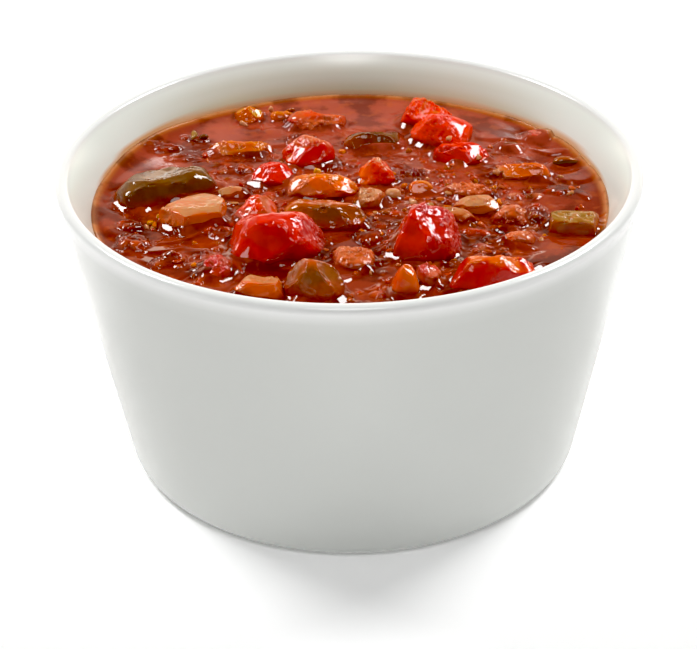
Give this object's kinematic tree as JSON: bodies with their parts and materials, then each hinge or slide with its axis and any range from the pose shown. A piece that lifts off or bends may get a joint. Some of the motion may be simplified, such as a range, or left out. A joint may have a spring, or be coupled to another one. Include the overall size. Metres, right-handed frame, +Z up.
{
  "type": "bowl of salsa",
  "caption": "Round white glazed dip bowl with straight tapered walls, filled with glossy red salsa and cut tomato, green pepper and onion.",
  "frame": {"origin": "middle of the foot, on the surface the bowl stands on", "axes": "+Z up along the bowl's axis; the picture looks along +Y with +X to the right"},
  "size_m": [0.102, 0.102, 0.055],
  "materials": {
    "glazed_bowl": "white gloss glaze",
    "sauce": "wet and glossy",
    "tomato": "wet and glossy",
    "pale_tomato": "wet and glossy",
    "pepper": "wet and glossy",
    "onion": "wet and glossy",
    "pulp": "wet and uneven"
  },
  "bodies": {
    "root": {"bowl": "glazed_bowl", "sauce": "sauce", "tomato_left": "tomato", "tomato_right": "tomato", "tomato_by_lip": "tomato", "tomato_cone": "tomato", "tomato_back": "tomato", "tomato_back_flap": "tomato", "tomato_low": "tomato", "tomato_middle": "tomato", "tomato_ball": "tomato", "tomato_peak": "tomato", "tomato_far": "tomato", "tomato_flap": "tomato", "tomato_bit": "tomato", "pepper_left": "pepper", "pepper_middle": "pepper", "pepper_front": "pepper", "pepper_back": "pepper", "pepper_right": "pepper", "pepper_sliver": "pepper", "pepper_bit_back": "pepper", "pepper_bit_wall": "pepper", "pepper_bit_front": "pepper", "onion_left": "onion", "onion_right": "onion", "onion_bit_left": "onion", "onion_bit_middle": "onion", "pale_tomato_middle": "pale_tomato", "pale_tomato_front": "pale_tomato", "pale_tomato_right": "pale_tomato", "pale_tomato_long": "pale_tomato", "pale_tomato_back": "pale_tomato", "pale_tomato_back_bit": "pale_tomato", "pale_tomato_bit": "pale_tomato", "pulp_right": "pulp", "pulp_by_onion": "pulp", "pulp_by_lip": "pulp", "pulp_middle": "pulp", "pulp_by_cone": "pulp", "pulp_left": "pulp", "pulp_front": "pulp"}
  },
  "joints": []
}
